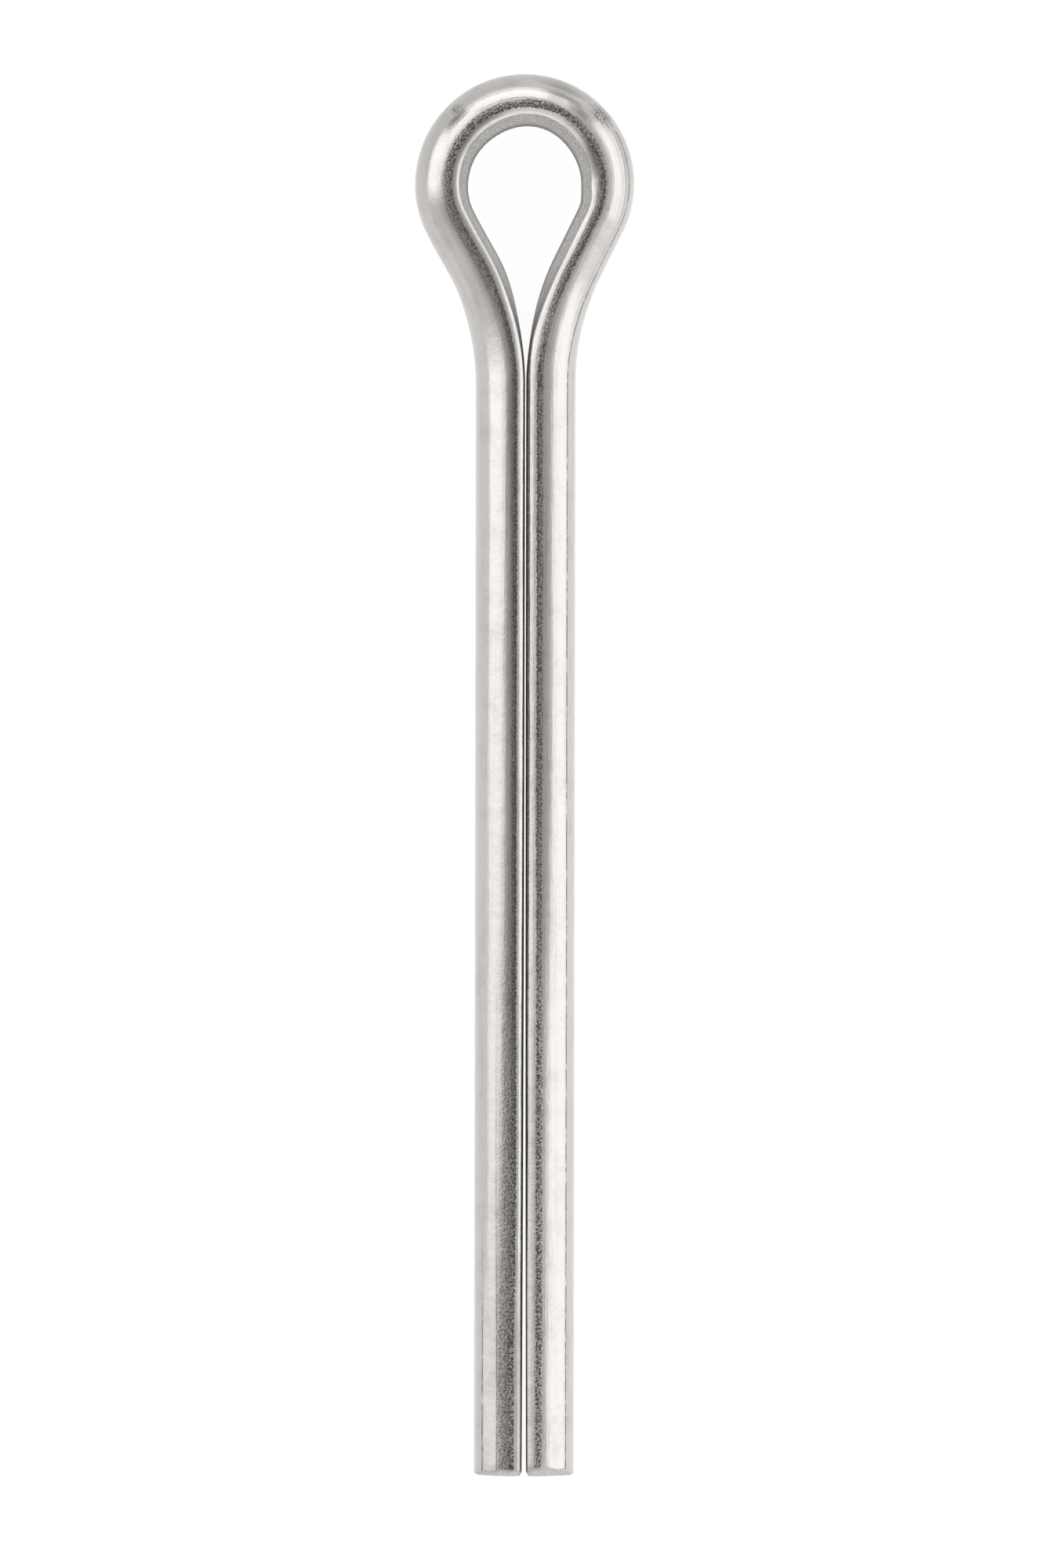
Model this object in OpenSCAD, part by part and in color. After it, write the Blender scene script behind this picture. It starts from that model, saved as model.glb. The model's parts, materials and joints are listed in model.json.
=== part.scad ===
// Cotter pin, bent from one length of half-round wire and lying flat.
// X runs across the pin, Y along it with the eye at +Y, and Z is up.
// The origin is on the axis of the shank, where the straight legs begin.

/* [Wire] */
// Diameter of the round shank that the two half-round legs make together
shank_d = 4.45; // [3:0.05:6]
// Radius of the rounded corners between the wire's flat side and its round side
corner_r = 0.45; // [0.2:0.05:0.6]
// Height of the slight crown on the wire's flat side, over the wire's full width
crown = 0.25; // [0.1:0.05:0.5]
// How much the wire swells all round where it is bent
bend_swell = 0.01; // [0.005:0.001:0.02]

/* [Eye] */
// Width of the eye over its outside
eye_w = 9.75; // [8.5:0.05:14]
// Angle that each side of the neck makes with the shank
neck_angle = 26.5; // [20:0.5:40]
// Length of the straight stretch on each side of the neck, between its two bends
neck_side = 2.3; // [0.5:0.1:3]

/* [Legs] */
// Length of the straight legs, from the neck to the tips
leg_len = 48.55; // [15:0.05:120]
// Gap between the legs at the neck
gap_neck = 0.06; // [0.05:0.01:0.15]
// Gap between the legs at the tips, to which it widens along the legs
gap_tip = 0.19; // [0.16:0.01:0.6]
// Height of the bevel on the upper and lower edges of the sheared tips
tip_bevel = 0.33; // [0.1:0.01:0.5]
// Height of the bevel on the side edges of the sheared tips
tip_side_bevel = 0.2; // [0.05:0.01:0.4]

/* [Hidden] */
$fn = 96;

// The wire follows the axis of the shank, bent: from this path its round side lies
// shank_r out, and its flat side half the gap out.
shank_r = shank_d / 2;
half_gap = gap_neck / 2;

// Bend of the eye, and the bend of the neck that is tangent to the straight side and the leg
eye_r = eye_w / 2 - bend_swell - shank_r;
neck_r = (eye_r * cos(neck_angle) - neck_side * sin(neck_angle)) / (1 - cos(neck_angle));
eye_y = (neck_r + eye_r) * sin(neck_angle) + neck_side * cos(neck_angle);

// The crown is an arc that rises by crown over the full width of the wire
crown_r = (shank_r * shank_r + crown * crown) / (2 * crown);
crown_x = half_gap + crown_r;

// A corner's arc touches the round side and the crown from within, so its middle lies
// corner_reach from the path and crown_r - corner_r from the middle of the crown
corner_reach = shank_r - corner_r;
corner_x = (pow(crown_x, 2) + pow(corner_reach, 2) - pow(crown_r - corner_r, 2)) / (2 * crown_x);
corner_z = sqrt(pow(corner_reach, 2) - pow(corner_x, 2));

// How far a corner's arc stands out past its neighbours, so that it crosses them cleanly
corner_proud = 0.003;
// How far a straight stretch runs into the bend that it meets
run_in = 0.1;
// How far the cutting shapes run past the steel
past = 1;

// What is cut off a sharp corner of the wire: a wedge from the middle of the corner's arc,
// through the two points where the arc touches its neighbours, less the arc's own disc
module corner_waste(swell) {
    middle = [corner_x, corner_z];
    to_round = 2 * corner_r * middle / corner_reach;
    to_crown = 2 * corner_r * (middle - [crown_x, 0]) / (crown_r - corner_r);
    translate(middle) difference() {
        polygon([[0, 0], to_round, to_round + to_crown, to_crown]);
        circle(r = corner_r + swell + corner_proud);
    }
}

// Section of the wire, with its flat side facing the path's inner side and its round side out
module wire_section(swell = 0) {
    difference() {
        intersection() {
            circle(r = shank_r + swell);
            translate([crown_x, 0]) circle(r = crown_r + swell);
        }
        for (side = [0, 1]) mirror([0, side]) corner_waste(swell);
    }
}

// Straight wire from the origin to length along -Y, run into the bend at its start
module straight(length) {
    rotate([90, 0, 0]) translate([0, 0, -run_in])
        linear_extrude(height = length + run_in) wire_section();
}

// Loop of the eye, from one side of the neck over the top to the other
module eye_bend() {
    translate([0, eye_y, 0]) rotate([0, 0, -neck_angle])
        rotate_extrude(angle = 180 + 2 * neck_angle)
            translate([eye_r, 0]) wire_section(bend_swell);
}

// Straight side of the neck, down from the eye into the neck's bend
module neck_straight() {
    translate([eye_r * cos(neck_angle), eye_y - eye_r * sin(neck_angle), 0])
        rotate([0, 0, -neck_angle]) straight(neck_side + run_in);
}

// Bend that turns the side of the neck into the leg
module neck_bend() {
    translate([neck_r, 0, 0]) rotate([0, 0, 180 - neck_angle])
        rotate_extrude(angle = neck_angle)
            translate([neck_r, 0]) mirror([1, 0]) wire_section(bend_swell);
}

// Wedge between the legs that widens towards their tips, and flares there to bevel their
// inner edges
module leg_gap() {
    half_tip = gap_tip / 2;
    flare = half_tip + tip_side_bevel;
    linear_extrude(height = shank_d + 2 * past, center = true)
        polygon([
            [0, 0],
            [half_tip, tip_side_bevel - leg_len],
            [flare + past, -leg_len - past],
            [-flare - past, -leg_len - past],
            [-half_tip, tip_side_bevel - leg_len]
        ]);
}

// Slanting cut across a tip that takes size off an edge, which lies at the origin along Z
// between a side facing +X and an end facing -Y
module edge_cut(size) {
    translate([0, size, 0]) rotate([0, 0, -45])
        translate([0, -shank_d, -shank_d]) cube([shank_d, 2 * shank_d, 2 * shank_d]);
}

// Bevels on the outer, upper and lower edges of both tips
module tip_bevels() {
    half_height = corner_z + corner_r;
    for (side = [0, 1]) {
        mirror([side, 0, 0]) translate([shank_r, -leg_len, 0]) edge_cut(tip_side_bevel);
        mirror([0, 0, side]) translate([0, -leg_len, half_height]) rotate([0, -90, 0]) edge_cut(tip_bevel);
    }
}

module cotter_pin() {
    color([0.74, 0.74, 0.72])
        difference() {
            union() {
                eye_bend();
                for (side = [0, 1]) mirror([side, 0, 0]) {
                    neck_straight();
                    neck_bend();
                    straight(leg_len);
                }
            }
            leg_gap();
            tip_bevels();
        }
}

cotter_pin();
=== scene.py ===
import json
import math

import bpy
import numpy as np
from bpy.props import FloatProperty, FloatVectorProperty, PointerProperty
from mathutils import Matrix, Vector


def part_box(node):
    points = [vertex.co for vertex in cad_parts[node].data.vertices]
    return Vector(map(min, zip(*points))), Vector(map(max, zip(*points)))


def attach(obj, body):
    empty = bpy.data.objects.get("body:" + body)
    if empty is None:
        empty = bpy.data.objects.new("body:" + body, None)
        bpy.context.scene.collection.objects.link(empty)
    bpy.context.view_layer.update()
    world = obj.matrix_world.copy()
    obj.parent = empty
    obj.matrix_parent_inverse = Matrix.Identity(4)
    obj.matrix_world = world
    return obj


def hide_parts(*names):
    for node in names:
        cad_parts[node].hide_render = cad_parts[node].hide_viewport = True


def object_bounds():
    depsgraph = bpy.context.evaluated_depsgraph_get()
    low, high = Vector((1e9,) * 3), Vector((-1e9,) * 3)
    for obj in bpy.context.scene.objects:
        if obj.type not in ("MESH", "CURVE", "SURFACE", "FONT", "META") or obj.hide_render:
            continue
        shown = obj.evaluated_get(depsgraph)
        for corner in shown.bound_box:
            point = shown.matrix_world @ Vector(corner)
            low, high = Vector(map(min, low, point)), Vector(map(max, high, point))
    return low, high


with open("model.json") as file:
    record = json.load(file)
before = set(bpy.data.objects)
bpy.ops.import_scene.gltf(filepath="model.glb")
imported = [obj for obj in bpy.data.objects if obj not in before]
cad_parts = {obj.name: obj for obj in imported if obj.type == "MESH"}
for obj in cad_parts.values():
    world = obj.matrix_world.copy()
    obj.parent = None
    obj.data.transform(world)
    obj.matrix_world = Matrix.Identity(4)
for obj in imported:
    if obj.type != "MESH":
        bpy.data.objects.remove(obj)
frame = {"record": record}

bl_info = {
    "name": "Cotter Pin",
    "version": (1, 0, 0),
    "blender": (4, 5, 0),
    "location": "3D View > Sidebar > Cotter Pin",
    "description": "A split cotter pin bent from half-round steel wire, lying flat on a pale studio floor",
    "category": "Add Mesh",
}

MM = 0.001
CAD_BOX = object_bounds()
PIN_LOW, PIN_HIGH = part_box("cotter_pin")
MOUNTS = {mount["name"]: mount for mount in frame["record"]["mounts"]}
WIRE_RADIUS = MOUNTS["shank"]["dims"]["r_mm"] * MM
EYE_MIDDLE = MOUNTS["eye"]["pos_m"][1]

BRIGHT, FLAT, SHEARED = range(3)  # material slots of the wire
# Columns of its mesh on the upper half: on the flat side, the corner, and the back down to the upper ridge,
# to the ridge and to the outermost line
FLAT_COLUMNS, CORNER_COLUMNS, TOP_COLUMNS, SHOULDER_COLUMNS, SIDE_COLUMNS = 7, 12, 14, 9, 10

# Where a form begins along the wire, as (start, length), in shares of the eye's half arc from its top to the
# right, or in shares of a leg from the neck
RIGHT_RIDGE, RIGHT_NECK = (0.3, 0.25), (0.78, 0.17)
LOWER_LEG, UPPER_RIDGE, SHOULDER_END, LEFT_TIP = (0.35, 0.3), (0.3, 0.5), (0.7, 0.25), (0.72, 0.2)
TOP_MIDDLE, TOP_REACH = 0.1, 0.45  # where the eye is bent tightest, and how far round it that reaches
WORN_MIDDLE, WORN_REACH = -0.13, 0.75  # where its rough steel is most worn, and how far that reaches

# Forms of the wire
BOW_PLACE, BOW_REACH = 6.4 * MM, 1.7 * MM  # where the neck's left side is bowed, and how far that reaches
GAP_POWER = 2.8  # the gap between the legs opens late, towards the tips
RIGHT_RELIEF, NECK_RELIEF = 0.25, 0.9  # relief of the eye's right half and neck, as shares of the setting
SHOULDER_FOOT, SHOULDER_REACH = np.radians([50, 30])  # where the back starts to rise to the brow
RIDGE_REACH = math.radians(20)  # how far round the wire the flattening above a ridge takes to grow
FLATTER_EDGE, FLATTER_BROW = 2, 0.5  # shares of a corner's flattening taken at its edge and added at its brow
# The waves that add up to dents: pace along the wire, folds round it, start and height
DENT_WAVES = (
    (0.43, 1, 0.7, 0.35),
    (0.81, 2, 2.1, 0.3),
    (1.37, 3, 4.4, 0.25),
    (2.3, 4, 1.9, 0.2),
    (3.7, 6, 5.3, 0.12),
)
ROLL_LIFT = 0.35 * MM  # lift of the rolled wire for each radian of roll, so it rests on the floor

# Sheared tips
LAST_RING = 1.5  # distance of the last whole ring from the end, in bevels
LIP_ROWS = 1  # rows of the bevel that shearing has left bright
BEVEL_POWER = 1.6  # 1 is a flat bevel and 2 a round one
BEVEL_SLOPE = 0.8  # how far a bevel goes in for its height
BEVEL_SHARES = np.array([0, 0.04, 0.12, 0.3, 0.5, 0.7, 0.88, 0.97, 1])  # places of its rings, up to the end
END_SHARES = np.array([0.8, 0.55, 0.3, 0.12])  # sizes of the rings inside the end
UPRIGHT = (0.25, 0.6)  # (start, length) of the change from side bevel to bevel, as the normal turns upright
LEAST_INWARD = 0.4  # keeps points that move nearly along the outline from moving far
RAGS = ((5, 1.3, 0.12), (13, 0.0, 0.08), (29, 0.5, 0.03))  # waves round a ragged bevel, start and height

# Rough steel lies flatter than one tilt and fades over the next: on the left leg, in a fainter part low on
# it, on the right leg's corner, and on the right leg's back, where it ends in a line. Its colour is also
# darkened there, as painted shade of the dark ceiling that this up-facing top reflects
ROUGH_LEFT, ROUGH_FAINT, ROUGH_CORNER, ROUGH_BACK = np.radians([(14, 6), (25, 6), (19, 6), (20, 1.5)])
EYE_ROUGH, LEG_ROUGH = np.radians([6, 6])  # more of the back is rough in the eye and low on the right leg
FAINT_ROUGH = 0.55  # how rough the fainter part is
TOP_WEAR, LEFT_WEAR, TIP_WEAR, RIGHT_WEAR = 0.4, -0.15, 0.55, 0.12  # added over the eye and on the legs

# How dark the marks on the drawn steel are, from 0, clean, to 1
# painted shade: darkens the rough steel's up-facing top, where it reflects the dark ceiling
WORN_SHADE_DARKNESS = 0.2  # the rough steel all over
PIT_DARKNESS, TIP_PIT_DARKNESS, FAINT_DARKNESS = 0.5, 0.9, 0.04  # pits in it, at its tips, in bright steel
LINE_DARKNESS, UPPER_LINE = 0.75, 0.6  # lines along the wire, and the upper ridge's share of it
# painted shade: a dark line beside the flat side, whose darkness the next two give
EYE_EDGE_SHADE, LEG_EDGE_SHADE = (0.2, 0.6), 0.9  # and the flat side's, in the eye left and right, and in the legs
STREAK_DARKNESS, STAIN_DARKNESS = 0.12, 0.18

# Patterns on the drawn steel. Its grain and its streaks are drawn coarser than real ones, so that they show.
NEAR_TIPS = -20 * MM, -42 * MM  # y where pits begin to deepen towards the tips, and where they are deepest
PIT_RIM, PIT_FLOOR = 0.56, 0.42  # the grain's noise at the rim and at the floor of a pit
TIP_PITTING, FAINT_PITTING = 2.2, 0.1  # pitting at the tips and on bright steel, as shares of the setting
DIMPLE_SIZE, STAIN_SIZE, BREAK_SIZE, RAG_SIZE = 0.6 * MM, 1.3 * MM, 0.5 * MM, 0.4 * MM
STREAK_GAP, STREAK_LENGTH = 0.3, 12  # mm between the die's streaks, and along them
STREAKED, STAINED, BROKEN = (0.56, 0.72), (0.45, 0.75), (0.3, 0.55)  # noise where each begins, and is full
LINE_EDGE, LINE_CORE = 0.06, 0.025  # mm from a ridge to where its line ends, and is full
SCUFFS = (  # x, y and radius in mm, and strength
    (-2.9, 11.9, 0.45, 1.0),
    (3.3, 11.9, 0.6, 0.8),
    (-3.6, 7.3, 0.55, 0.7),
)
SCUFF_EDGE = 1.25, 0.5  # radii at which a scuff ends, and is full
BRIGHT_ROUGHNESS, WORN_ROUGHNESS, MATTE_ROUGHNESS = 0.12, 0.2, 0.5
SPOTS = 0.34, 0.66  # noise in the low and in the high spots of matte steel
LOW_SHADE_HEIGHTS = -1.3 * MM, -0.1 * MM  # heights at which matte steel's painted shade is full, and above which there is none

# The studio round the pin, in degrees: down is the angle from overhead, and around the angle from straight
# ahead, clockwise. Each step of the ceiling is (from, to) down and the brightness it adds.
WORLD_LIGHT, STUDIO_RADIUS = 0.8, 1.5
CEILING_LIGHT = 0.26
CEILING_STEPS = (((33, 41), 0.25), ((46, 70), 0.4))
SOFTBOXES = (  # (from, to) around, (top, bottom) down, edge, brightness added
    ((52, 113), (67, 110), 8, 0.76),  # right
    ((-38, 15), (56, 82), 5, 0.9),  # beyond the eye
    ((-78, -30), (50, 68), 5, 0.9),  # its lower corner
    ((-94, -52), (52, 91), 8, 0.82),  # left
    ((-100, -78), (0, 30), 6, 0.1),  # a faint glow high over the left one
    ((15, 32), (47, 76), 5, 0.4),  # a low one between the box beyond the eye and the right one
    ((32, 48), (44, 54), 5, 0.5),  # its other half
    ((125, 232), (35, 100), 18, 0.52),  # pale wall at the near end
)
CARDS = (  # (from, to) around, (top, bottom) down, edge, share of the light taken
    ((-64, 50), (-20, 46), 8, 0.45),  # overhead, towards the eye
    ((-20, 15), (-20, 53), 4, 0.38),  # over the box beyond the eye
    ((-84, -20), (-20, 48), 4, 0.38),  # over its lower corner
    ((30, 50), (58, 79), 6, 0.42),  # between that box and the right one
    ((12, 34), (78, 104), 6, 0.4),  # under the low one
    ((-54, -38), (72, 92), 6, 0.6),  # between the box beyond the eye and the left one
    ((-150, -101), (-20, 49), 5, 0.5),  # over the left box's near end
    ((-150, -101), (50, 112), 9, 0.12),  # beside it
    ((113, 160), (-20, 56), 6, 0.4),  # over the right box's near end
)

# The floor's painted reflection, its glow that only reflections see: two places and the brightness at each,
# across and ahead, and an oval card
FLOOR_ACROSS = -9 * MM, 9 * MM, 0.86, 1.02
FLOOR_AHEAD = 4 * MM, 18 * MM, 1.0, 0.84
CARD_PLACE, CARD_SIZE = (6.5 * MM, 26 * MM, 0), (3.5 * MM, 12 * MM, 1)  # middle and half axes
CARD_TURN, CARD_LIGHT = math.radians(-20), 0.6
CARD_EDGE = 0.4, 1.3  # shares of the half axes at which the card is darkest, and ends
CAMERA_GLOW, CLEAR_GLOW = 0.93, 0.84  # how brightly it glows to the camera and through clear things
FLOOR_WIDTH, PAPER_GREY = 6.0, "#6A6A6A"

SENSOR_WIDTH = 36  # mm
CAMERA_TURN = math.radians(0.1)  # so that the pin lies a little askew
EASED = {"interpolation_type": "SMOOTHSTEP"}


def linear(hex_colour):
    """The linear colour of an sRGB hex string: c / 12.92 below 0.04045, else ((c + 0.055) / 1.055) ** 2.4."""
    parts = np.array([int(hex_colour[i : i + 2], 16) for i in (1, 3, 5)]) / 255
    low, high = parts / 12.92, ((parts + 0.055) / 1.055) ** 2.4
    return tuple(np.where(parts <= 0.04045, low, high).tolist())


def smooth(x):
    """Eases from 0 to 1 as x goes from 0 to 1: 3 x^2 - 2 x^3."""
    x = np.clip(x, 0, 1)
    return x * x * (3 - 2 * x)


def begun(x, stretch):
    """How far a form has begun at x: eases from 0 to 1 over a stretch, given as its start and length."""
    start, length = stretch
    return smooth((x - start) / length)


# -------- settings


def millimetres(name, description, default):
    """A length setting, with its default in millimetres."""
    return FloatProperty(
        name=name,
        description=description,
        default=default * MM,
        subtype="DISTANCE",
        unit="LENGTH",
        precision=6,
    )


def degrees(name, description, default):
    """An angle setting, with its default in degrees."""
    return FloatProperty(name=name, description=description, default=math.radians(default), subtype="ANGLE")


def tint(name, description, default):
    """A colour setting, with its default as an sRGB hex string."""
    return FloatVectorProperty(
        name=name,
        description=description,
        default=linear(default),
        subtype="COLOR",
        size=3,
        min=0,
        max=1,
    )


class WireSettings(bpy.types.PropertyGroup):
    """Shape of the half-round wire and of its bends."""

    neck_angle: degrees("Neck Angle", "Angle that each side of the neck makes with the shank", 26.5)
    lean: millimetres("Lean of the Eye", "How far the eye stands to the left of the shank", 0.05)
    bow: millimetres("Bow of the Neck", "How far its left side swings out above and in below", 0.11)
    roll_left: degrees("Left Roll", "How far bending rolls the flat side up in the eye's left half", 5.8)
    roll_right: degrees("Right Roll", "The same in the eye's right half", 8)
    relief: millimetres("Relief in the Eye", "How far the flat side draws back at the top of the eye", 0.12)
    thinning: FloatProperty(
        name="Thinning in the Eye",
        description="Share of its thickness that the wire loses where it is bent into the eye",
        default=0.06,
        subtype="FACTOR",
    )
    crown: millimetres("Crown", "How far the flat side bulges over the wire's full width", 0.065)
    brow_left: degrees("Left Brow", "Where the left leg's corner meets its back, from the wire's top", 9.5)
    brow_right: degrees("Right Brow", "The same place on the right leg", 13.8)
    eye_brow: degrees("Brow in the Eye", "How much farther out the right brow lies in the eye", 5.5)
    tip_brow: degrees("Brow at the Left Tip", "How much farther out the left brow lies near its tip", 3.5)
    edge_left: degrees("Left Edge", "Tilt of the left leg's corner at its edge with the flat side", 49)
    edge_right: degrees("Right Edge", "The same on the right leg", 45)
    corner_left: degrees("Left Corner", "Tilt of the left leg's corner at its brow with the back", 25)
    corner_right: degrees("Right Corner", "The same on the right leg", 22)
    top_corner: degrees("Corner at the Top", "How much more it tilts there at the top of the eye", 7)
    tip_corner: degrees("Corner at the Left Tip", "How much flatter the left corner is near its tip", 6)
    leg_corner: degrees("Corner of the Right Leg", "How much flatter the corner is along the right leg", 4)
    shoulder_left: millimetres("Left Shoulder", "How far the left leg's back rises towards its brow", 0.055)
    shoulder_right: millimetres("Right Shoulder", "The same on the right leg, in its lower half", 0.1)
    ridge: degrees("Ridge", "Place of the faint ridge along the back, from the wire's outermost line", 33.5)
    flattening: millimetres("Flattening", "How much lower the back lies above the ridge", 0.07)
    upper_ridge: degrees("Upper Ridge", "Place of a second ridge on the left leg", 55.5)
    upper_flattening: millimetres("Upper Flattening", "The same above the second ridge, at its tip", 0.035)
    gap_neck: millimetres("Gap at the Neck", "Gap between the legs where they come together", 0.05)
    gap_tip: millimetres("Gap at the Tips", "Gap between the legs at their tips", 0.19)
    dents: millimetres("Dents", "Height of the shallow dents that bending leaves in the steel", 0.006)
    left_bevel: millimetres("Left Bevel", "Height of the bevel on the left tip's upper and lower edge", 0.28)
    right_bevel: millimetres("Right Bevel", "The same on the right tip", 0.4)
    side_bevel: millimetres("Side Bevel", "Height of the bevel on the side edges of both tips", 0.14)
    slant: degrees("Tip Slant", "How far the left tip is sheared out of square", 0.3)
    bend_step: millimetres("Step in the Bends", "Distance between the mesh's rings in the bends", 0.1)
    leg_step: millimetres("Step in the Legs", "Distance between the mesh's rings in the straight legs", 0.35)


class FinishSettings(bpy.types.PropertyGroup):
    """Colours and grain of the steel."""

    bright: tint("Drawn Steel", "Colour of the wire's drawn round side", "#CAC7C4")
    flat: tint("Rolled Flat", "Colour of the wire's matte flat side", "#C2BFBC")
    sheared: tint("Sheared Tip", "Colour of the sheared tips", "#C8C4C0")
    pit: tint("Pits", "Colour of the pits and fine lines in the drawn steel", "#5E5A57")
    pitting: millimetres("Pitting", "Depth of the grain where the steel is rough", 0.02)
    dimples: millimetres("Dimples", "Depth of the shallow unevenness that makes reflections wander", 0.009)
    streaks: millimetres("Streaks", "Depth of the faint lines that the die leaves along the wire", 0.008)
    grain: millimetres("Grain", "Size of the grain that drawing leaves on the steel", 0.09)


class StageSettings(bpy.types.PropertyGroup):
    """Place and view of the camera."""

    camera_height: millimetres("Camera Height", "Height of the camera over the pin", 600)
    view_height: millimetres("View Height", "Length of floor that the view's height takes in", 69.8)
    view_x: millimetres("View Middle X", "Where the middle of the view lies across the pin", -0.11)
    view_y: millimetres("View Middle Y", "Where the middle of the view lies along the pin", -17.82)


# -------- the wire


def path_stretches(size):
    """Lengths of the eye's half arc, the neck's side and bend and the leg, and the radii of the two bends.

    The neck's bend and its straight side end where the eye's bend begins, so they solve neck (1 - cos a) +
    side sin a = eye cos a and neck sin a + side cos a = eye's middle - eye sin a.
    """
    sin, cos = math.sin(size.neck_angle), math.cos(size.neck_angle)
    eye = PIN_HIGH.x - WIRE_RADIUS
    neck, side = np.linalg.solve([[1 - cos, sin], [sin, cos]], [eye * cos, EYE_MIDDLE - eye * sin])
    lengths = eye * (math.pi / 2 + size.neck_angle), side, neck * size.neck_angle, -PIN_LOW.y
    return lengths, eye, neck


def wire_path(t, size):
    """Points and outward directions of the path at distances t from the top of the eye, negative to the left.

    The right half is an arc, a line, an arc and a line, each tangent to the last. A point on an arc is its
    middle plus the radius times (cos, sin) of an angle that changes by length / radius, and a point on a
    line is its start plus length times direction. Outwards is the side of the wire's round back. The eye
    leans to the left, and the left side of the neck is bowed by bow * u exp(-u^2), where u is the distance
    above the bow's place.
    """
    (arc, side, bend, _), eye, neck = path_stretches(size)
    away = np.abs(t)
    turn = np.clip(math.pi / 2 - away / eye, -size.neck_angle, None)
    back = np.clip((away - arc - side) / neck, 0, size.neck_angle)
    heading = turn + back  # angle of the outward direction
    in_eye = away <= arc
    in_side = away <= arc + side
    in_bend = away <= arc + side + bend
    sin, cos = math.sin(size.neck_angle), math.cos(size.neck_angle)
    along = np.clip(away - arc, 0, side)
    x = np.select(
        [in_eye, in_side, in_bend],
        [eye * np.cos(turn), eye * cos - along * sin, neck * (1 - np.cos(heading))],
        0.0,
    )
    y = np.select(
        [in_eye, in_side, in_bend],
        [EYE_MIDDLE + eye * np.sin(turn), EYE_MIDDLE - eye * sin - along * cos, -neck * np.sin(heading)],
        arc + side + bend - away,
    )
    left = np.where(t < 0, -1.0, 1.0)
    lean = size.lean * smooth(y / EYE_MIDDLE)
    off = (y - BOW_PLACE) / BOW_REACH
    bow = np.where(t < 0, size.bow * off * np.exp(-(off**2)), 0.0)
    return np.stack([left * x - lean - bow, y], -1), np.stack([left * np.cos(heading), np.sin(heading)], -1)


def ring_places(size):
    """Distances of the mesh's rings from the top of the eye: close in the bends, wide in the legs."""
    (arc, side, bend, leg), _, _ = path_stretches(size)
    bends = arc + side + bend
    near = bends + leg - LAST_RING * size.right_bevel
    curved = np.linspace(0, bends, round(bends / size.bend_step) + 1)
    straight = np.linspace(bends, near, round(leg / size.leg_step) + 1)[1:]
    half = np.concatenate([curved, straight])
    return np.concatenate([-half[:0:-1], half])


def places(t, size):
    """Three shares at distances t: along the eye's half arc, along a leg, and how far t is in the eye.

    The first is negative to the left. The last is 1 in the eye and in the neck's straight sides, and eases
    to 0 over the neck's bend.
    """
    (arc, side, bend, leg), _, _ = path_stretches(size)
    past_side = np.abs(t) - arc - side
    return t / arc, np.clip((past_side - bend) / leg, 0, 1), 1 - smooth(past_side / bend)


def near_top(along_eye):
    """1 where the eye is bent tightest, easing to 0 on either side."""
    return smooth(1 - np.abs(along_eye - TOP_MIDDLE) / TOP_REACH)


def between(along_eye, left, right):
    """A value that is left in the left leg and right in the right leg, and eases between them in the eye."""
    return left + (right - left) * smooth(0.5 + along_eye / 2)


def flat_gap(t, size):
    """Twice the distance from the path to the flat side: the legs' gap, plus twice the relief in the eye."""
    along_eye, along_leg, in_eye = places(t, size)
    opening = (size.gap_tip - size.gap_neck) * along_leg**GAP_POWER
    right = RIGHT_RELIEF * smooth(2 * along_eye) + NECK_RELIEF * begun(along_eye, RIGHT_NECK)
    return size.gap_neck + opening + 2 * size.relief * (near_top(along_eye) + right) * in_eye


def brow_angle(t, size):
    """Angle round the path, from straight out, at which the corner meets the back."""
    along_eye, along_leg, in_eye = places(t, size)
    at_left_tip = begun(along_leg, LEFT_TIP) * (t < 0)
    farther = size.eye_brow * smooth(along_eye) * in_eye + size.tip_brow * at_left_tip
    return math.pi / 2 - between(along_eye, size.brow_left, size.brow_right) - farther


def corner_tilts(t, size):
    """Tilts of the corner towards the gap: at its edge with the flat side, and at its brow with the back."""
    along_eye, along_leg, in_eye = places(t, size)
    at_left_tip = begun(along_leg, LEFT_TIP) * (t < 0)
    flatter = size.tip_corner * at_left_tip + size.leg_corner * (1 - in_eye) * (t > 0)
    edge = between(along_eye, size.edge_left, size.edge_right) - FLATTER_EDGE * flatter
    brow = between(along_eye, size.corner_left, size.corner_right) + FLATTER_BROW * flatter
    return edge, brow + size.top_corner * near_top(along_eye) * in_eye


def shoulder_rise(t, size):
    """How far the back stands above the round at the brow: on the left leg, and low on the right leg."""
    _, along_leg, in_eye = places(t, size)
    left = size.shoulder_left * (1 - in_eye) * (1 - begun(along_leg, SHOULDER_END))
    return np.where(t < 0, left, size.shoulder_right * begun(along_leg, LOWER_LEG))


def ridge_strengths(t, size):
    """How strong the ridge is, from the eye's right side on and at the left tip, and the left upper ridge."""
    along_eye, along_leg, _ = places(t, size)
    ridge = np.where(t > 0, begun(along_eye, RIGHT_RIDGE), begun(along_leg, LEFT_TIP))
    return ridge, begun(along_leg, UPPER_RIDGE) * (t < 0)


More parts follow.
